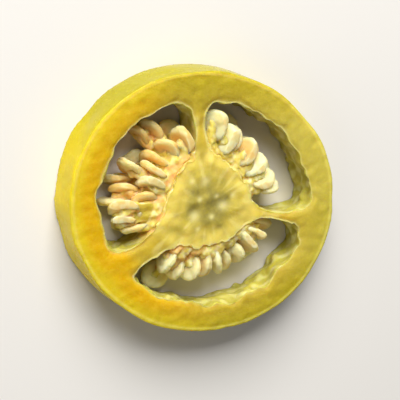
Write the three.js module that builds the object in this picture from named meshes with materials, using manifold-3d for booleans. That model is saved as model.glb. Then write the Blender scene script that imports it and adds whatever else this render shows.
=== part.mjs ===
// A crosswise slice of a pickled green chilli pepper, with its seeds. It lies on its lower cut face.
// Units are millimetres, +Z is up along the fruit's own axis, and the origin is under the slice's middle.
//
// The fruit is one grown piece: a fleshy wall, three partitions (septa) and the core (placenta) that they
// meet in. Between the partitions are three open chambers. Every seed is a piece of its own, held at the
// end of a short stalk that grows out of the core. Two parallel knife cuts, one below and one above, go
// through the fruit and through every seed that stands in their way.
import * as THREE from "three";
import { mergeVertices } from "three/addons/utils/BufferGeometryUtils.js";
import Module from "manifold-3d";

const wasm = await Module();
wasm.setup();

const radians = THREE.MathUtils.degToRad;

// Driving dimensions: the slice.
const SKIN_RADIUS = 15.5; // mean radius over the skin, halfway up the slice
const SKIN_OVALNESS = 0.045; // how much longer the long half axis is than the mean, as a share of it
const LONG_AXIS = radians(158); // direction of the long axis
const THICKNESS = 5; // between the two knife cuts
const SKIN_SLOPE = radians(4); // the fruit narrows towards its tip, which is upwards here
const WALL = 3.3; // flesh between the skin and a chamber
const WALL_RIPPLE = 0.12; // height of the soft swellings on the wall's inner face
const RIPPLES = 11; // how many of them go round

// The core, and the partitions that join it to the wall, each with its direction and half its width.
const CORE_RADIUS = 4.6; // from the axis to the core's face, in the middle of a chamber
const CORE_LOBE = 0.9; // how much further out that face lies where it turns into a partition
const SEPTA = [
  { at: radians(96), half: 0.85 },
  { at: radians(212.5), half: 1.45 },
  { at: radians(345.5), half: 0.65 },
];
const WALL_CORNER = 1.5; // rounding between a partition and the wall
const CORE_CORNER = 0.7; // rounding between a partition and the core

// A seed: a flat rounded disc that narrows to a beak at its stalk.
const SEED_LENGTH = 3.7;
const SEED_WIDTH = 3.2;
const SEED_DEPTH = 0.95; // its thickness
const BEAK = 0.45; // how far the beak stands out of the disc
const BEAK_NARROWING = 0.2; // how much narrower than the disc the seed is there, as a share
const SEED_FLATNESS = 0.8; // 1 makes the seed's faces domes, less makes them flatter
const STALK_RADIUS = 0.3;
const STALK_TAPER = 0.6; // a stalk's radius at its seed, as a share of the radius at its root
const STALK_ROOT = 1.2; // how deep a stalk starts inside the core
const STALK_GAP = 0.1; // between a stalk and its own seed
const CLEARANCE = 0.1; // between a seed and everything else

// Seeds stand in rows, each row along the core's face in one chamber. A row keeps free of the partitions
// by start and end, in degrees. reach is the gap between the core and the row, height is the share of the
// slice's thickness that the seeds' middles lie over the lower cut, and lean tips the flat discs over like
// fallen dominoes, in degrees.
const ROWS = [
  { name: "left", chamber: 0, count: 9, start: 17, end: 21, reach: 0.2, height: 0.66, lean: 22 },
  { name: "lower", chamber: 1, count: 10, start: 20, end: 22, reach: 0.2, height: 0.66, lean: -20 },
  { name: "right", chamber: 2, count: 7, start: 26, end: 17, reach: 0.3, height: 0.68, lean: 40 },
  { name: "left_outer", chamber: 0, count: 7, start: 26, end: 28, reach: 2.4, height: 0.64, lean: 20 },
  { name: "left_under", chamber: 0, count: 3, start: 34, end: 36, reach: 1.2, height: 0.18, lean: 80 },
  { name: "lower_under", chamber: 1, count: 4, start: 30, end: 30, reach: 0.9, height: 0.18, lean: -80 },
  { name: "right_under", chamber: 2, count: 3, start: 34, end: 34, reach: 1.2, height: 0.18, lean: 80 },
];
const STRAY_TURN = radians(12); // the most that one seed turns away from its row
const STRAY_REACH = 0.5; // the most that one seed stands further out than its row
const STRAY_HEIGHT = 0.5; // the most that one seed stands higher or lower than its row

// A seed with no room gives way: sideways round the core, outwards, and up or down, in steps. Its middle
// stays inside both knife cuts. A seed that still has no room has stayed smaller.
const GIVE_WAY = { turn: radians(3), turns: 8, out: 0.4, outs: 6, up: 0.4, ups: 4 };
const KEPT_INSIDE = 0.5;
const SIZES = [1, 0.8, 0.6, 0.45];

// How finely round things are faceted.
const SKIN_POINTS = 96;
const CHAMBER_POINTS = 64;
const WALL_POINTS = 9; // points of a chamber's outline that lie on the wall
const CORE_POINTS = 6; // points of it that lie on the core
const LAYERS = 2; // bands of facets up the side of the slice
const SEED_SIDES = 14;
const SEED_RINGS = 7;
const STALK_SIDES = 8;

// ---- shapes in plan ----

const polar = (angle, radius) => new THREE.Vector3(radius * Math.cos(angle), radius * Math.sin(angle), 0);

function skinRadius(angle) {
  return SKIN_RADIUS * (1 + SKIN_OVALNESS * Math.cos(2 * (angle - LONG_AXIS)));
}

function wallRadius(angle) {
  return skinRadius(angle) - WALL + WALL_RIPPLE * Math.sin(RIPPLES * angle);
}

// The chamber between septum number i and the next one round, with its two edges' angles.
function chamberSides(i) {
  const first = SEPTA[i];
  const last = SEPTA[(i + 1) % SEPTA.length];
  const turn = last.at > first.at ? 0 : 2 * Math.PI;
  return { from: first.at, to: last.at + turn, fromHalf: first.half, toHalf: last.half };
}

// The core's face swells from the middle of a chamber towards the partitions on both sides.
function coreRadius(angle, from, to) {
  const along = (angle - from) / (to - from);
  return CORE_RADIUS + (CORE_LOBE * (1 + Math.cos(2 * Math.PI * along))) / 2;
}

// The angle at which a partition's side, half its width off its middle line, is the given radius out.
const sideAngle = (half, radius) => Math.asin(half / radius);

function spread(first, last, count) {
  return Array.from({ length: count }, (_, i) => first + ((last - first) * i) / (count - 1));
}

// A chamber's outline: along the wall, in beside the second partition, back along the core and out again.
function chamberOutline(i) {
  const { from, to, fromHalf, toHalf } = chamberSides(i);
  const coreEnd = CORE_RADIUS + CORE_LOBE;
  const wallFrom = from + sideAngle(fromHalf + WALL_CORNER, wallRadius(from));
  const wallTo = to - sideAngle(toHalf + WALL_CORNER, wallRadius(to));
  const coreFrom = from + sideAngle(fromHalf + CORE_CORNER, coreEnd);
  const coreTo = to - sideAngle(toHalf + CORE_CORNER, coreEnd);
  const partWay = (angle, side, half, radius) => polar(angle + side * sideAngle(half, radius), radius);
  const nearWall = wallRadius(to) - WALL_CORNER;
  const nearCore = coreEnd + CORE_CORNER;
  const corners = [
    ...spread(wallFrom, wallTo, WALL_POINTS).map((a) => polar(a, wallRadius(a))),
    partWay(to, -1, toHalf, nearWall),
    partWay(to, -1, toHalf, nearCore),
    ...spread(coreTo, coreFrom, CORE_POINTS).map((a) => polar(a, coreRadius(a, from, to))),
    partWay(from, 1, fromHalf, nearCore),
    partWay(from, 1, fromHalf, nearWall),
  ];
  const curve = new THREE.CatmullRomCurve3(corners, true, "centripetal");
  return curve.getSpacedPoints(CHAMBER_POINTS).slice(0, CHAMBER_POINTS);
}

// ---- solids ----

function toSolid(geometry) {
  const bare = geometry.clone();
  bare.deleteAttribute("normal");
  bare.deleteAttribute("uv");
  const merged = mergeVertices(bare);
  const mesh = new wasm.Mesh({
    numProp: 3,
    vertProperties: merged.attributes.position.array,
    triVerts: new Uint32Array(merged.index.array),
  });
  return new wasm.Manifold(mesh);
}

function toGeometry(solid) {
  const mesh = solid.getMesh();
  const geometry = new THREE.BufferGeometry();
  geometry.setAttribute("position", new THREE.BufferAttribute(mesh.vertProperties, 3));
  geometry.setIndex(new THREE.BufferAttribute(mesh.triVerts, 1));
  geometry.computeVertexNormals();
  return geometry;
}

// All that lies between the two knife cuts.
function betweenCuts() {
  const side = 4 * SKIN_RADIUS;
  return new THREE.BoxGeometry(side, side, THICKNESS).translate(0, 0, THICKNESS / 2);
}

// Wall, partitions and core in one, as a plate with three holes that narrows upwards.
function fleshPlate() {
  const round = spread(0, 2 * Math.PI, SKIN_POINTS + 1).slice(0, -1);
  const shape = new THREE.Shape();
  shape.setFromPoints(round.map((angle) => polar(angle, skinRadius(angle))));
  for (let i = 0; i < SEPTA.length; i++) {
    shape.holes.push(new THREE.Path().setFromPoints(chamberOutline(i)));
  }
  const plate = new THREE.ExtrudeGeometry(shape, { depth: THICKNESS, steps: LAYERS, bevelEnabled: false });
  const position = plate.attributes.position;
  for (let i = 0; i < position.count; i++) {
    const up = position.getZ(i) - THICKNESS / 2;
    const scale = 1 - (up * Math.tan(SKIN_SLOPE)) / SKIN_RADIUS;
    position.setXY(i, position.getX(i) * scale, position.getY(i) * scale);
  }
  return plate;
}

// A whole seed, its beak's tip at the origin, its length along +X and its flat faces facing +Y and -Y.
function seedShape() {
  const seed = new THREE.SphereGeometry(1, SEED_SIDES, SEED_RINGS);
  const position = seed.attributes.position;
  const disc = SEED_LENGTH - BEAK;
  for (let i = 0; i < position.count; i++) {
    const [x, y, z] = [position.getX(i), position.getY(i), position.getZ(i)];
    const toBeak = Math.max(0, -x) ** 4;
    const flat = Math.sign(y) * Math.abs(y) ** SEED_FLATNESS;
    position.setXYZ(
      i,
      BEAK + (disc / 2) * (1 + x) - BEAK * toBeak,
      (flat * SEED_DEPTH) / 2,
      ((z * SEED_WIDTH) / 2) * (1 - BEAK_NARROWING * toBeak),
    );
  }
  return seed;
}

// The seed grown by the clearance all round: the room that it needs.
function seedRoom() {
  const grown = (size) => (size + 2 * CLEARANCE) / size;
  const room = seedShape().scale(grown(SEED_LENGTH), grown(SEED_DEPTH), grown(SEED_WIDTH));
  return room.translate(-CLEARANCE, 0, 0);
}

// A stalk from inside the core out to the gap in front of its seed, along +X.
function stalkShape(reach) {
  const length = STALK_ROOT + reach - STALK_GAP;
  const stalk = new THREE.CylinderGeometry(STALK_TAPER * STALK_RADIUS, STALK_RADIUS, length, STALK_SIDES);
  return stalk.rotateZ(-Math.PI / 2).translate(length / 2 - STALK_ROOT, 0, 0);
}

// ---- where the seeds stand ----

// A repeatable stray value from -1 to 1 for the given seed and use.
const stray = (seed, use) => Math.sin(17.3 * seed + 5.1 * use);

function seedsOf(row, firstNumber) {
  const { from, to } = chamberSides(row.chamber);
  const angles = spread(from + radians(row.start), to - radians(row.end), row.count);
  return angles.map((angle, i) => {
    const number = firstNumber + i;
    return {
      name: `seed_${row.name}_${i + 1}`,
      angle,
      root: coreRadius(angle, from, to),
      reach: row.reach + (STRAY_REACH * (1 + stray(number, 1))) / 2,
      height: THICKNESS * row.height + STRAY_HEIGHT * stray(number, 4),
      swing: STRAY_TURN * stray(number, 2),
      lean: radians(row.lean) + STRAY_TURN * stray(number, 3),
    };
  });
}

// Every way that a seed may give way, the smallest first.
function waysToGive() {
  const { turn, turns, out, outs, up, ups } = GIVE_WAY;
  const ways = [];
  for (let t = -turns; t <= turns; t++) {
    for (let o = 0; o <= outs; o++) {
      for (let u = -ups; u <= ups; u++) {
        const effort = Math.abs(t) + o + Math.abs(u);
        ways.push({ angle: t * turn, reach: o * out, height: u * up, effort });
      }
    }
  }
  ways.sort((a, b) => a.effort - b.effort);
  return SIZES.flatMap((size) => ways.map((way) => ({ ...way, size })));
}

// Puts the spoke, whose +X points outwards from the core's face, and the seed on it.
function place(seed, way, spoke, mesh) {
  const angle = seed.angle + way.angle;
  spoke.position.copy(polar(angle, seed.root)).setZ(seed.height + way.height);
  spoke.rotation.z = angle;
  mesh.position.x = seed.reach + way.reach;
  mesh.rotation.set(seed.lean, 0, seed.swing, "ZYX");
  spoke.updateMatrixWorld(true);
}

const isKept = (height) => height > KEPT_INSIDE && height < THICKNESS - KEPT_INSIDE;

const touches = (solid, others) => others.some((other) => !solid.intersect(other).isEmpty());

// ---- the object ----

const materials = {
  flesh: new THREE.MeshStandardMaterial({ color: 0xd2be2c, roughness: 0.35, metalness: 0 }),
  seed: new THREE.MeshStandardMaterial({ color: 0xf0dba0, roughness: 0.5, metalness: 0 }),
};

const slice = new THREE.Group();
const knife = toSolid(betweenCuts());
const seedSolid = toSolid(seedShape());
const roomSolid = toSolid(seedRoom());
const plate = toSolid(fleshPlate());
const ways = waysToGive();
const rooms = [];
const stalks = [];

// Adds one seed and its stalk, in the first place where neither touches what stands already.
function addSeed(seed) {
  const spoke = new THREE.Group();
  const mesh = new THREE.Mesh(new THREE.BufferGeometry(), materials.seed);
  mesh.name = seed.name;
  spoke.add(mesh);
  let [size, room, stalk] = [];
  for (const way of ways.filter(({ height }) => isKept(seed.height + height))) {
    place(seed, way, spoke, mesh);
    size = way.size;
    room = roomSolid.scale(size).transform(mesh.matrixWorld.elements);
    stalk = toSolid(stalkShape(mesh.position.x).applyMatrix4(spoke.matrixWorld));
    if (!touches(room, [...rooms, ...stalks, plate]) && !touches(stalk, rooms)) break;
  }
  rooms.push(room);
  stalks.push(stalk);
  const toSeed = mesh.matrixWorld.clone().invert();
  mesh.geometry = toGeometry(seedSolid.scale(size).intersect(knife.transform(toSeed.elements)));
  slice.add(spoke);
}

let seedCount = 0;
for (const row of ROWS) {
  seedsOf(row, seedCount).forEach(addSeed);
  seedCount += row.count;
}

const flesh = stalks.reduce((grown, stalk) => grown.add(stalk.intersect(knife)), plate);
const fleshMesh = new THREE.Mesh(toGeometry(flesh), materials.flesh);
fleshMesh.name = "pepper_slice";
slice.add(fleshMesh);

export default slice;
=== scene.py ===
"""The looks of a slice of pickled chilli pepper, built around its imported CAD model.

The flesh and every seed are finer copies of their CAD nodes. They are shaped in millimetres, painted in
zones that the CAD surfaces define, and then put back into the frame's metres.
"""
import math

import bmesh
import bpy
import numpy as np
from mathutils import Matrix, Vector
from mathutils.bvhtree import BVHTree


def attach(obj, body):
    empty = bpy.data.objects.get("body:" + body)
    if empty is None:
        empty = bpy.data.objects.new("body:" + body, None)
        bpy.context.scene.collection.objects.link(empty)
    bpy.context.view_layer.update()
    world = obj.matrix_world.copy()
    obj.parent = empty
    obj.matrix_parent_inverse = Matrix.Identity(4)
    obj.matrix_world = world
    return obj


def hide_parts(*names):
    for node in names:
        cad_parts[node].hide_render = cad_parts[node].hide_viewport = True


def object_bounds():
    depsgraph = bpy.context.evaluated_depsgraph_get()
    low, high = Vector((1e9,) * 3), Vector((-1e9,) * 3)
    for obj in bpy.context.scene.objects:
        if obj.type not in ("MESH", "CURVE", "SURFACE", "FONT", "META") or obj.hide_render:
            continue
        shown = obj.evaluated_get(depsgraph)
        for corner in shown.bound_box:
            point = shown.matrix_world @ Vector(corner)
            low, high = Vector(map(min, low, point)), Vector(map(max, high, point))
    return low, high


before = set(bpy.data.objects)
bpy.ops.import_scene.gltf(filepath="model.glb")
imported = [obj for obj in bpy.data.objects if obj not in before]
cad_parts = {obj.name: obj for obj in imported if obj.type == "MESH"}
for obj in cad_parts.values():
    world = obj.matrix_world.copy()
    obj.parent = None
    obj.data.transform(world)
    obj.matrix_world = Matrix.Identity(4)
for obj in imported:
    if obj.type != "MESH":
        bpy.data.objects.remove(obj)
cad_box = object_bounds()

MM = 0.001
TOP = cad_box[1][2] / MM  # height of the upper knife cut
SKIN = (cad_box[1][0] - cad_box[0][0]) / 2 / MM  # half the slice's longer side

FLESH_NODE = "pepper_slice"
TINT = "tint"  # the attribute that holds a mesh's own colours
FLESH_VOXEL = 0.15
SEED_VOXEL = 0.1

# How the CAD flesh's upright faces are told apart.
UPRIGHT = 0.1  # the most that an upright face's normal points up or down
SKIN_FACES_OUT = 0.5  # the least that a face of the skin points outwards
SKIN_STARTS = 0.8 * SKIN  # the least distance from the middle to a face of the skin

# Where one part of the flesh passes into the next: distances from the middle, in millimetres.
HEART_ENDS = (0.8, 4.2)
PARTITIONS_START = (4.5, 8.5)
STALKS_END = (5.5, 7)
CORE_FACES_END = (9, 11)
SLUMP_ENDS = (9.5, 11.5)
WALL_STARTS = (9.6, 11.4)
CUT_FACES_UP = (0.55, 0.9)  # how far up or down a cut's normals point

# How deep the uneven places in the flesh are, in millimetres.
CHAMBER_REACH = 0.9  # how far into the flesh a chamber face's waves are felt
CHAMBER_WAVES = 0.06  # on every face of a chamber
RAGGED_WIDE = 0.2  # on the wall's face: wide waves
RAGGED_NARROW = 0.1  # and narrow ones
RAGGED_MOST = 0.4  # and both together at the most
CORE_GROWTH = 0.16  # on the core's face: all over
CORE_LUMPS = 0.14
CORE_KNOBS = 0.1
TISSUE_LUMPS = 0.08
TISSUE_KNOBS = 0.05
RIM_SINK = 0.2  # below the knife cuts: along a chamber's rim
GROOVE_SINK = 0.05  # in a groove just inside the skin
WAVES_SINK = 0.035  # all over
SLUMP_SINK = 0.16  # in the partitions and the core
SINK_MOST = 0.6
SKIN_DENTS = 0.07  # inwards, round the skin

# How a seed differs from its CAD shape, in millimetres.
SEED_PLUMP = 0.09  # how much further out its surface lies
SEED_MARGIN = 0.03  # a raised margin round a flat face
SEED_DISH = 0.13  # a shallow dish in the middle of it
SEED_WAVES = 0.05
SEED_WRINKLES = 0.02
SEED_OUTLINE = 0.12  # how uneven its outline is
SEED_BEND = 0.1  # the most that it bends or twists
SEED_INSIDE_CUTS = 0.02  # how far it stays inside both knife cuts
SEED_CUT_NEAR = 0.06  # what lies nearer to a knife cut than this is cut through

# How orange the seeds are: in each chamber, and towards the right end of the lower row.
CHAMBER_TONE = {"left": 0.55, "right": 0.25, "lower": 0.15}
LOWER_ROW_FRONT = -2  # the lower row's seeds lie in front of this Y
LOWER_ROW_END = (3, 7)  # the X over which that end's tone sets in
LOWER_ROW_END_TONE = 0.45
TONE_STRAY = 0.35  # from seed to seed
TONE_PATCHES = 0.3  # within a seed

# Soft tissue between the core and its seeds, in millimetres. It is made of tongues, one from the core to
# each seed, and of bridges between neighbouring seeds.
INSIDE_CORE = 4.3  # a distance from the middle that is inside the core all round
SEED_END = 0.3  # a seed's inner end is what lies within this of its innermost point
TISSUE_ROOT = 1.1  # radius of a tongue at the core
TISSUE_TAPER = 0.25  # how fast it narrows outwards
TISSUE_TIP = 0.6  # its radius at its seed
TISSUE_STEP = 0.3  # between the lumps that a tongue is made of
TISSUE_STRAY = 0.1  # how far a lump is off its tongue's middle line
TISSUE_RISE = 1.6  # how far a tongue comes down on its way from the core to its seed
TISSUE_COVER = 0.3  # how far the lumps stay below the upper cut
TISSUE_HOLDS = (0.9, 1.9)  # how far along a seed it is bridged to its neighbours
TISSUE_BRIDGE = 2.0  # the longest bridge
TISSUE_SAG = (-0.1, 0.4)  # how far a bridge's middle hangs down

# Pale strands in the core: direction, distance from the middle and radius, in millimetres. The first three
# stand towards the partitions.
BUNDLES = [
    (math.radians(98), 2.6, 0.5), (math.radians(218), 2.1, 0.55), (math.radians(352), 1.8, 0.6),
    (math.radians(40), 1.3, 0.25), (math.radians(150), 1.2, 0.3), (math.radians(285), 1.5, 0.3),
    (math.radians(125), 3.3, 0.25), (math.radians(245), 3.0, 0.25), (math.radians(15), 3.1, 0.3),
]

FIBRES = 6  # how closely the core's fibres lie round its middle
GOLD_SIDE = math.radians(192)  # the side where the wall is a golden yellow, partly its own colour and partly a painted glow of light through it
PALE_SIDE = math.radians(215)  # the side where the skin is painted a lighter yellow as painted light; away from it the skin is painted darker as painted shade

# The camera.
VIEW_TILT = math.radians(26)  # from straight above the slice
VIEW_TOWARDS = math.radians(150)  # direction of that tilt
VIEW_DISTANCE = 0.125  # in metres
VIEW_LENS = 100  # in millimetres


# ---- numbers over many points ----

def smooth_step(low, high, value):
    """0 up to low, 1 from high on, and a soft step between."""
    share = np.clip((value - low) / (high - low), 0, 1)
    return share * share * (3 - 2 * share)


def bump_at(middle, width, value):
    """1 where value is middle, falling to 0 about width away."""
    return np.exp(-(((value - middle) / width) ** 2))


def swell(points, size, seed):
    """Soft random swellings about the given size across, mostly between -1 and 1."""
    waves = 28
    random = np.random.default_rng(seed)
    turns = random.normal(size=(waves, 3))
    fineness = 2 * math.pi / size * random.uniform(0.6, 1.3, waves)
    turns *= (fineness / np.linalg.norm(turns, axis=1))[:, None]
    phases = random.uniform(0, 2 * math.pi, waves)
    return np.cos(points @ turns.T + phases).sum(1) * math.sqrt(1.2 / waves)


def srgb(text):
    """A colour written as six hex digits, as linear red, green and blue."""
    shares = np.array([int(text[i : i + 2], 16) / 255 for i in (0, 2, 4)])
    return np.where(shares > 0.04045, ((shares + 0.055) / 1.055) ** 2.4, shares / 12.92)


def mix(first, second, share):
    """From the first colour to the second, point by point."""
    return first + (second - first) * np.asarray(share)[..., None]


# ---- meshes ----

def seed_nodes():
    return sorted(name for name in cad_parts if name.startswith("seed_"))


def finer_copy(node, name, voxel, lumps=()):
    """The shape of a CAD node in even fine quads, in millimetres, with round lumps grown onto it."""
    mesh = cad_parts[node].data.copy()
    mesh.transform(Matrix.Scale(1 / MM, 4))
    grown = bmesh.new()
    grown.from_mesh(mesh)
    for place, radius in lumps:
        bmesh.ops.create_icosphere(grown, subdivisions=2, radius=radius, matrix=Matrix.Translation(place))
    grown.to_mesh(mesh)
    grown.free()
    piece = bpy.data.objects.new(name, mesh)
    bpy.context.scene.collection.objects.link(piece)
    remesh = piece.modifiers.new("even_quads", "REMESH")
    remesh.mode = "VOXEL"
    remesh.voxel_size = voxel
    finished = piece.evaluated_get(bpy.context.evaluated_depsgraph_get())
    piece.data = bpy.data.meshes.new_from_object(finished)
    piece.modifiers.clear()
    piece.data.name = name
    return piece


def corners(mesh):
    values = np.empty(len(mesh.vertices) * 3, np.float32)
    mesh.vertices.foreach_get("co", values)
    return values.reshape(-1, 3).astype(float)


def set_corners(mesh, points):
    mesh.vertices.foreach_set("co", points.astype(np.float32).ravel())
    mesh.update()


def corner_normals(mesh):
    values = np.empty(len(mesh.vertices) * 3, np.float32)
    mesh.vertex_normals.foreach_get("vector", values)
    return values.reshape(-1, 3).astype(float)


def relax(mesh, rounds):
    """Moves every point halfway to the mean of its neighbours, that many times."""
    pairs = np.empty(len(mesh.edges) * 2, np.int32)
    mesh.edges.foreach_get("vertices", pairs)
    a, b = pairs.reshape(-1, 2).T
    points = corners(mesh)
    count = np.bincount(pairs, minlength=len(points))
    for _ in range(rounds):
        for axis in range(3):
            line = points[:, axis]
            total = np.bincount(a, line[b], len(line)) + np.bincount(b, line[a], len(line))
            points[:, axis] = line + 0.5 * (total / count - line)
    set_corners(mesh, points)


def paint(mesh, colours):
    """The tint that the mesh's material reads, point by point."""
    layer = mesh.attributes.new(TINT, "FLOAT_COLOR", "POINT")
    rgba = np.ones((len(colours), 4), np.float32)
    rgba[:, :3] = np.clip(colours, 0, 1)
    layer.data.foreach_set("color", rgba.ravel())


def put_in_frame(piece, node, slot, *materials):
    """Back to metres, smooth shaded, standing for its CAD node."""
    piece.data.transform(Matrix.Scale(MM, 4))
    piece.data.shade_smooth()
    piece.data.materials.clear()
    for material in materials:
        piece.data.materials.append(material)
    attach(piece, "root")
    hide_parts(node)


# ---- materials ----

class Nodes:
    """A new material's node tree, with its Principled shader."""

    def __init__(self, name):
        self.material = bpy.data.materials.new(name)
        self.material.use_nodes = True
        self.tree = self.material.node_tree
        self.shader = self.tree.nodes["Principled BSDF"]

    def add(self, kind, **settings):
        node = self.tree.nodes.new(kind)
        for key, value in settings.items():
            setattr(node, key, value)
        return node

    def link(self, out, into):
        self.tree.links.new(out, into)

    def set(self, **sockets):
        """Sets sockets of the shader that are the same all over, named like coat_weight."""
        for key, value in sockets.items():
            socket = key.replace("_", " ").title().replace("Ior", "IOR")
            self.shader.inputs[socket].default_value = value

    def tint(self):
        """The mesh's own colours."""
        return self.add("ShaderNodeAttribute", attribute_name=TINT).outputs["Color"]

    def noise(self, size, detail=3):
        """Noise with features of the given size in metres."""
        place = self.add("ShaderNodeTexCoord")
        noise = self.add("ShaderNodeTexNoise")
        noise.inputs["Scale"].default_value = 1 / size
        noise.inputs["Detail"].default_value = detail
        noise.inputs["Roughness"].default_value = 0.55
        self.link(place.outputs["Object"], noise.inputs["Vector"])
        return noise.outputs["Fac"]

    def cells(self, size):
        """Cells of the given size in metres, lowest in their middles."""
        place = self.add("ShaderNodeTexCoord")
        cells = self.add("ShaderNodeTexVoronoi")
        cells.inputs["Scale"].default_value = 1 / size
        self.link(place.outputs["Object"], cells.inputs["Vector"])
        return cells.outputs["Distance"]

    def ramp(self, value, low, high, to_low=0.0, to_high=1.0):
        """A soft step that takes low to to_low and high to to_high."""
        node = self.add("ShaderNodeMapRange", interpolation_type="SMOOTHSTEP")
        self.link(value, node.inputs["Value"])
        limits = {"From Min": low, "From Max": high, "To Min": to_low, "To Max": to_high}
        for key, number in limits.items():
            node.inputs[key].default_value = number
        return node.outputs["Result"]

    def times(self, a, b):
        node = self.add("ShaderNodeMath", operation="MULTIPLY")
        for socket, value in zip(node.inputs, (a, b)):
            if isinstance(value, (int, float)):
                socket.default_value = value
            else:
                self.link(value, socket)
        return node.outputs[0]

    def mixed(self, share, a, b):
        """Colour a with colour b over it by share."""
        node = self.add("ShaderNodeMix", data_type="RGBA")
        for socket, value in ((node.inputs[0], share), (node.inputs[6], a), (node.inputs[7], b)):
            if isinstance(value, bpy.types.NodeSocket):
                self.link(value, socket)
            elif isinstance(value, (int, float)):
                socket.default_value = value
            else:
                socket.default_value = (*value, 1)
        return node.outputs[2]

    def bump(self, height, depth, before=None):
        """Bumps of the given depth in metres."""
        node = self.add("ShaderNodeBump")
        node.inputs["Strength"].default_value = 1.0
        node.inputs["Distance"].default_value = depth
        self.link(height, node.inputs["Height"])
        if before:
            self.link(before, node.inputs["Normal"])
        return node.outputs["Normal"]


def skin_material():
    """Waxy skin: smooth, with soft dents and fine flecks."""
    m = Nodes("pepper_skin")
    tint = m.tint()
    mottle = m.ramp(m.noise(0.0028), 0.35, 0.65)
    fleck = m.ramp(m.noise(0.0005, detail=2), 0.55, 0.75)
    colour = m.mixed(m.times(mottle, 0.2), tint, srgb("a39a00"))
    m.link(m.mixed(m.times(fleck, 0.14), colour, srgb("f4e860")), m.shader.inputs["Base Color"])
    m.link(m.ramp(m.noise(0.0016), 0.3, 0.7, 0.16, 0.3), m.shader.inputs["Roughness"])
    m.link(m.bump(m.noise(0.0014, detail=2), 0.00006), m.shader.inputs["Normal"])
    m.set(subsurface_weight=0.5, subsurface_scale=0.0016, specular_ior_level=0.08)
    m.shader.inputs["Subsurface Radius"].default_value = (1, 0.75, 0.08)
    return m.material


def flesh_material():
    """Moist cut flesh with fine cells."""
    m = Nodes("pepper_flesh")
    tint = m.tint()
    mottle = m.ramp(m.noise(0.0022), 0.35, 0.65)
    grain = m.ramp(m.noise(0.0004, detail=2), 0.35, 0.7)
    cell = m.ramp(m.cells(0.00028), 0.05, 0.55)
    colour = m.mixed(m.times(mottle, 0.09), tint, srgb("a88f06"))
    colour = m.mixed(m.times(grain, 0.1), colour, srgb("f6e05a"))
    m.link(colour, m.shader.inputs["Base Color"])
    m.link(m.ramp(m.noise(0.0012), 0.3, 0.7, 0.4, 0.65), m.shader.inputs["Roughness"])
    soft = m.bump(m.noise(0.0014, detail=2), 0.00005)
    fine = m.bump(cell, 0.000014, soft)
    m.link(fine, m.shader.inputs["Normal"])
    m.link(fine, m.shader.inputs["Coat Normal"])
    m.set(subsurface_weight=0.7, subsurface_scale=0.0022, specular_ior_level=0.2)
    m.set(coat_weight=0.1, coat_roughness=0.22)
    m.shader.inputs["Subsurface Radius"].default_value = (1, 0.75, 0.12)
    return m.material


def seed_material():
    """Moist seed coat: mottled, finely wrinkled, softly shining."""
    m = Nodes("pepper_seed")
    tint = m.tint()
    mottle = m.ramp(m.noise(0.0009), 0.35, 0.7)
    m.link(m.mixed(m.times(mottle, 0.2), tint, srgb("e8c478")), m.shader.inputs["Base Color"])
    m.link(m.ramp(m.noise(0.0007), 0.3, 0.7, 0.35, 0.6), m.shader.inputs["Roughness"])
    m.link(m.bump(m.noise(0.0003, detail=4), 0.00004), m.shader.inputs["Normal"])
    m.set(subsurface_weight=0.8, subsurface_scale=0.0022, specular_ior_level=0.3)
    m.set(coat_weight=0.2, coat_roughness=0.2)
    m.shader.inputs["Subsurface Radius"].default_value = (1, 0.75, 0.4)
    return m.material


# ---- the flesh ----

class FleshZones:
    """How far points are from the skin and from the chambers, by the CAD model's upright faces."""

    def __init__(self, node):
        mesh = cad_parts[node].data.copy()
        mesh.transform(Matrix.Scale(1 / MM, 4))
        skin, chamber = [], []
        for face in mesh.polygons:
            out = Vector((face.center.x, face.center.y, 0))
            if abs(face.normal.z) > UPRIGHT:
                continue
            outward = face.normal.dot(out.normalized())
            is_skin = outward > SKIN_FACES_OUT and out.length > SKIN_STARTS
            (skin if is_skin else chamber).append(tuple(face.vertices))
        places = [v.co for v in mesh.vertices]
        self.skin = BVHTree.FromPolygons(places, skin)
        self.chamber = BVHTree.FromPolygons(places, chamber)

    @staticmethod
    def nearest(tree, points):
        """Depths behind the tree's nearest faces, less than 0 in front, and their direction in plan."""
        found = [tree.find_nearest(Vector(p)) for p in points]
        places = np.array([f[0][:] for f in found])
        outward = np.array([f[1][:] for f in found])
        distance = np.array([f[3] for f in found])
        in_front = ((points - places) * outward).sum(1) > 0
        outward[:, 2] = 0
        outward /= np.linalg.norm(outward, axis=1)[:, None]
        return np.where(in_front, -distance, distance), outward


def tissue_lumps():
    """The places and radii of the tissue's lumps: along the tongues, and in the middle of each bridge."""
    random = np.random.default_rng(50)
    lumps, ends = [], []
    for node in seed_nodes():
        points = corners(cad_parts[node].data) / MM
        radius = np.hypot(points[:, 0], points[:, 1])
        tip = points[radius < radius.min() + SEED_END].mean(0)
        outwards = tip * (1, 1, 0) / np.hypot(tip[0], tip[1])
        root = tip - outwards * (radius.min() - INSIDE_CORE)
        length = radius.min() + TISSUE_HOLDS[-1] - INSIDE_CORE
        for run in np.arange(0, length, TISSUE_STEP):
            size = max(TISSUE_TIP, TISSUE_ROOT - TISSUE_TAPER * run) * random.uniform(0.8, 1.15)
            place = root + outwards * run + random.normal(0, TISSUE_STRAY, 3)
            place[2] += TISSUE_RISE * (1 - run / length)
            place[2] = np.clip(place[2], size, TOP - TISSUE_COVER - size)
            lumps.append((place, size))
        for hold in TISSUE_HOLDS:
            end = tip + outwards * hold
            for other in ends:
                if np.linalg.norm(end - other) < TISSUE_BRIDGE:
                    middle = (end + other) / 2 - (0, 0, random.uniform(*TISSUE_SAG))
                    lumps.append((middle, TISSUE_TIP * random.uniform(0.9, 1.2)))
            ends.append(end)
    return lumps


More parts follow.
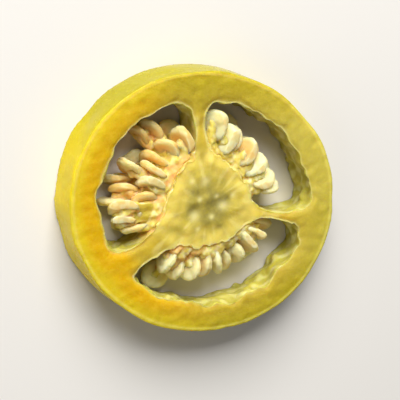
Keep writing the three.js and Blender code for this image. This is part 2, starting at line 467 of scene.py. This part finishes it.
def shape_flesh(mesh, zones):
    """Gives the even copy its uneven chamber walls, swollen core and soft cut edges. Returns its zones."""
    points = corners(mesh)
    normals = corner_normals(mesh)
    to_skin, _ = zones.nearest(zones.skin, points)
    depth, into = zones.nearest(zones.chamber, points)
    to_skin, to_chamber = np.abs(to_skin), np.abs(depth)
    tissue = smooth_step(0.1, 0.4, -depth)
    radius = np.hypot(points[:, 0], points[:, 1])
    across = points[:, :2] / np.maximum(radius, 1e-6)[:, None]
    faces_out = (into[:, :2] * across).sum(1)
    near_chamber = np.exp(-to_chamber / CHAMBER_REACH)
    on_cut = smooth_step(*CUT_FACES_UP, np.abs(normals[:, 2]))
    core_side = smooth_step(0.0, 0.5, faces_out) * (1 - smooth_step(*CORE_FACES_END, radius))
    core_side = np.maximum(core_side, tissue)
    wall_side = smooth_step(0.0, 0.5, -faces_out)

    # The wall's inner face is blistered and its edge ragged; the core's face is thick with stalk roots.
    ragged = RAGGED_WIDE * swell(points, 2.8, 1)
    ragged += RAGGED_NARROW * swell(points, 1.3, 2) * (1 + swell(points, 4, 9))
    ragged = np.clip(ragged, -RAGGED_MOST, RAGGED_MOST)
    lumps = CORE_GROWTH + CORE_LUMPS * swell(points, 1.1, 3) + CORE_KNOBS * swell(points, 0.6, 4)
    shift = CHAMBER_WAVES * swell(points, 2.5, 5) + wall_side * ragged + core_side * lumps
    points += into * (near_chamber * shift * (1 - tissue))[:, None]
    knobs = TISSUE_LUMPS * swell(points, 1.1, 21) + TISSUE_KNOBS * swell(points, 0.5, 22)
    points += normals * (tissue * knobs)[:, None]

    # Both cuts: rims sink and round off, a shallow groove follows the skin, the middle slumps.
    sink = RIM_SINK * bump_at(0, 0.4, to_chamber) * (1 - 0.6 * core_side)
    sink += GROOVE_SINK * bump_at(0.6, 0.25, to_skin)
    sink += WAVES_SINK * (1 + swell(points, 1.4, 6))
    sink += SLUMP_SINK * (1 - smooth_step(*SLUMP_ENDS, radius)) * (1 + 0.5 * swell(points, 2.2, 7))
    points[:, 2] -= np.sign(normals[:, 2]) * on_cut * (1 - tissue) * np.clip(sink, 0, SINK_MOST)
    points[:, 2] = np.clip(points[:, 2], 0, TOP - 0.15 * tissue)

    # The skin has soft dents.
    dents = bump_at(0, 0.5, to_skin) * SKIN_DENTS * (1 + swell(points, 5, 8))
    points[:, :2] -= across * dents[:, None]
    set_corners(mesh, points)
    return {
        "to_skin": to_skin, "to_chamber": to_chamber, "radius": radius, "on_cut": on_cut,
        "angle": np.arctan2(points[:, 1], points[:, 0]), "core_side": core_side, "tissue": tissue,
    }


def fibre_space(angle, radius):
    """Places in which an even pattern looks like fibres that run outwards from the middle."""
    return np.stack([FIBRES * np.cos(angle), FIBRES * np.sin(angle), 0.3 * radius], axis=1)


def bundles(points):
    """1 on the pale strands that run up through the core, 0 away from them."""
    spots = np.zeros(len(points))
    for turn, out, size in BUNDLES:
        spot = np.array([math.cos(turn), math.sin(turn)]) * out
        spots = np.maximum(spots, bump_at(0, size, np.linalg.norm(points[:, :2] - spot, axis=1)))
    return spots


def paint_flesh(mesh, zone):
    """Skin, cut wall, partitions, core and the chambers' faces, each in its own colours, with painted
    light and shade on the skin and the cut wall, and a painted highlight along the cut's outer edge.
    """
    points = corners(mesh)
    to_skin, to_chamber, radius = zone["to_skin"], zone["to_chamber"], zone["radius"]
    share = to_skin / (to_skin + to_chamber + 1e-6)
    # The cut wall is golden and brighter on one side, olive at the top and pale olive on the far side:
    # partly the flesh's own colours, partly painted light and shade.
    lean = 0.5 + 0.5 * np.cos(zone["angle"] - GOLD_SIDE) + 0.06 * swell(points, 8, 11)
    gold = smooth_step(0.5, 0.92, lean)

    green_wall = mix(srgb("b0a010"), srgb("b8a032"), share)
    green_wall = mix(green_wall, srgb("d2c45c"), 0.6 * smooth_step(0.75, 1, 1 - lean))
    gold_wall = mix(srgb("dac01a"), srgb("d8ab00"), smooth_step(0.2, 0.6, share))
    wall = mix(green_wall, gold_wall, gold)
    # A pale line just inside the skin: partly the flesh's own paler layer, partly a painted highlight
    # along the edge of the cut.
    wall = mix(wall, srgb("ece07c"), 0.4 * bump_at(0.35, 0.15, to_skin))

    out = radius + 0.9 * swell(points, 1.9, 12)
    heart = mix(srgb("948842"), srgb("c4b048"), smooth_step(*HEART_ENDS, out))
    partition = mix(heart, srgb("c0a42e"), smooth_step(*PARTITIONS_START, radius))
    near_seeds = bump_at(0, 1.5, to_chamber + 0.4 * swell(points, 1.3, 16))
    near_seeds *= 1 - smooth_step(*STALKS_END, radius)
    inner = mix(partition, srgb("ecd468"), np.maximum(0.8 * near_seeds, 0.3 * bump_at(0, 0.5, to_chamber)))
    inner = mix(inner, srgb("ece2a0"), 0.75 * bundles(points))
    fibre = smooth_step(0.2, 1.1, swell(fibre_space(zone["angle"], radius), 1.1, 18))
    inner = mix(inner, srgb("eee08c"), 0.4 * fibre * smooth_step(1.5, 3.5, radius))
    in_wall = smooth_step(*WALL_STARTS, radius + 0.4 * swell(points, 3, 13))
    cut = mix(inner, wall, in_wall)
    cut = mix(cut, srgb("f0e6a0"), 0.55 * bump_at(0, 0.16, to_chamber) * (1 - 0.8 * zone["core_side"]))

    endocarp = mix(srgb("b4aa44"), srgb("cec878"), smooth_step(-0.5, 1, swell(points, 1.2, 14)))
    placenta = mix(srgb("e4c862"), srgb("f4e29a"), smooth_step(-0.5, 1, swell(points, 0.9, 15)))
    peach = smooth_step(0.4, 0.8, lean) * smooth_step(-0.4, 0.5, swell(points, 1.8, 17))
    placenta = mix(placenta, srgb("eeb66a"), peach)
    side = mix(endocarp, placenta, zone["core_side"])
    cut = mix(cut, placenta, zone["tissue"])
    # Painted light and shade on the skin: a lighter yellow towards one side, a darker olive away from it.
    pale = smooth_step(0.5, 0.95, 0.5 + 0.5 * np.cos(zone["angle"] - PALE_SIDE))
    skin = mix(srgb("a2960a"), srgb("ecd014"), pale)

    is_skin = (1 - smooth_step(0.35, 0.6, to_skin)) * (1 - zone["on_cut"])
    colour = mix(side, cut, zone["on_cut"])
    colour = mix(colour, skin, is_skin)
    paint(mesh, colour)
    return is_skin


def corner_mean(mesh, values):
    """Each face's mean of its corners' values."""
    loops = np.empty(len(mesh.loops), np.int32)
    mesh.loops.foreach_get("vertex_index", loops)
    starts = np.empty(len(mesh.polygons), np.int32)
    mesh.polygons.foreach_get("loop_start", starts)
    return np.add.reduceat(values[loops], starts) / np.diff(np.append(starts, len(loops)))


def make_flesh(cut_look, skin_look):
    """The flesh with its soft tissue, standing for its CAD node; faces of the skin have their own look."""
    flesh = finer_copy(FLESH_NODE, "flesh", FLESH_VOXEL, tissue_lumps())
    relax(flesh.data, 2)
    zone = shape_flesh(flesh.data, FleshZones(FLESH_NODE))
    relax(flesh.data, 1)
    is_skin = paint_flesh(flesh.data, zone)
    put_in_frame(flesh, FLESH_NODE, "flesh", cut_look, skin_look)
    which = (corner_mean(flesh.data, is_skin) > 0.5).astype(np.int32)
    flesh.data.polygons.foreach_set("material_index", which)


# ---- the seeds ----

def disc_axes(points):
    """A seed's middle, and the directions of its length (away from the core), its width and its depth."""
    middle = (points.min(0) + points.max(0)) / 2
    _, _, axes = np.linalg.svd(points - points.mean(0), full_matrices=False)
    flat = axes[2]
    outwards = np.array([middle[0], middle[1], 0])
    along = outwards - flat * (outwards @ flat)
    along /= np.linalg.norm(along)
    return middle, along, np.cross(flat, along), flat


def make_seed(number, node, material):
    """A seed with its own swellings and tone, standing for its CAD node."""
    seed = finer_copy(node, "look_" + node, SEED_VOXEL)
    mesh = seed.data
    random = np.random.default_rng(100 + number)
    height = corners(mesh)[:, 2]
    is_cut = (np.abs(height - TOP) < SEED_CUT_NEAR) | (np.abs(height) < SEED_CUT_NEAR)
    relax(mesh, 2)
    points = corners(mesh)
    normals = corner_normals(mesh)
    middle, along, wide, flat = disc_axes(points)
    offset = points - middle
    run, breadth = offset @ along, offset @ wide
    half = np.ptp(run) / 2
    rim = np.clip(np.hypot(run, breadth) / half, 0, 1.2)
    on_flat = smooth_step(0.4, 0.9, np.abs(normals @ flat))

    # A raised margin round a shallow dish, uneven, bent and slightly plumper than the CAD seed.
    swollen = SEED_PLUMP + SEED_MARGIN * bump_at(0.8, 0.12, rim) * on_flat
    swollen -= SEED_DISH * bump_at(0.25, 0.45, rim) * on_flat
    waves = SEED_WAVES * swell(points, 1.7, 200 + number)
    swollen += waves + SEED_WRINKLES * swell(points, 0.7, 300 + number)
    swollen += SEED_OUTLINE * swell(points, 2.6, 500 + number) * (1 - on_flat)
    bend, twist = random.uniform(-SEED_BEND, SEED_BEND, 2)
    points += normals * swollen[:, None]
    points += flat * (bend * (run**2 - 1) + twist * run * breadth)[:, None]
    points[:, 2] = np.clip(points[:, 2], SEED_INSIDE_CUTS, TOP - SEED_INSIDE_CUTS)
    set_corners(mesh, points)
    relax(mesh, 1)

    tone = CHAMBER_TONE[node.split("_")[1]]
    if middle[1] < LOWER_ROW_FRONT:
        tone += LOWER_ROW_END_TONE * smooth_step(*LOWER_ROW_END, middle[0])
    tone += TONE_STRAY * random.normal() + TONE_PATCHES * swell(points, 2.5, 31)
    tone = np.clip(tone, 0, 1)
    coat = mix(srgb("f2e0a0"), srgb("ecba6a"), tone)
    coat = mix(coat, srgb("f6eab8"), 0.5 * bump_at(0.9, 0.2, rim) * on_flat)
    coat = mix(coat, srgb("cf9a4e"), 0.6 * smooth_step(0.6, 1.05, -run / half))
    inside = mix(srgb("ecc078"), srgb("f4dcaa"), smooth_step(-0.4, 0.8, swell(points, 0.9, 400 + number)))
    paint(mesh, mix(coat, inside, is_cut * 0.6))
    put_in_frame(seed, node, "seed", material)


# ---- the studio ----

def make_floor():
    """A plain pale matt floor."""
    bpy.ops.mesh.primitive_plane_add(size=3)
    floor = bpy.context.object
    floor.name = "floor"
    m = Nodes("floor")
    m.set(base_color=(0.78, 0.75, 0.7, 1), roughness=1.0, specular_ior_level=0.1)
    floor.data.materials.append(m.material)


def add_softbox(name, place, size, watts):
    """A square lamp that faces the slice."""
    light = bpy.data.lights.new(name, "AREA")
    light.size = size
    light.energy = watts
    lamp = bpy.data.objects.new(name, light)
    bpy.context.scene.collection.objects.link(lamp)
    lamp.location = place
    lamp.rotation_euler = (-lamp.location).to_track_quat("-Z", "Y").to_euler()


def light_studio():
    """A key light from behind, low enough to shade the chambers, and a weak fill from the left."""
    add_softbox("key", place=(-0.05, 0.34, 0.25), size=0.28, watts=3.2)
    add_softbox("fill", place=(-0.36, -0.1, 0.22), size=0.3, watts=0.3)
    world = bpy.data.worlds.new("studio")
    world.use_nodes = True
    background = world.node_tree.nodes["Background"].inputs
    background["Color"].default_value = (1, 1, 1, 1)
    background["Strength"].default_value = 0.15
    bpy.context.scene.world = world
    bpy.context.scene.view_settings.view_transform = "Standard"


def add_camera():
    """Looks down at the slice, tilted towards its left, with the frame's Y axis up in the picture."""
    target = Vector((0, 0, TOP / 2 * MM))
    back = Vector((
        math.sin(VIEW_TILT) * math.cos(VIEW_TOWARDS),
        math.sin(VIEW_TILT) * math.sin(VIEW_TOWARDS),
        math.cos(VIEW_TILT),
    ))
    up = Vector((0, 1, 0))
    up = (up - back * up.dot(back)).normalized()
    camera = bpy.data.cameras.new("camera")
    camera.lens = VIEW_LENS
    camera.clip_start = 0.01
    holder = bpy.data.objects.new("camera", camera)
    bpy.context.scene.collection.objects.link(holder)
    turn = Matrix((up.cross(back), up, back)).transposed().to_4x4()
    holder.matrix_world = Matrix.Translation(target + back * VIEW_DISTANCE) @ turn
    bpy.context.scene.camera = holder


make_flesh(flesh_material(), skin_material())
seed_look = seed_material()
for number, node in enumerate(seed_nodes()):
    make_seed(number, node, seed_look)

make_floor()
light_studio()
add_camera()
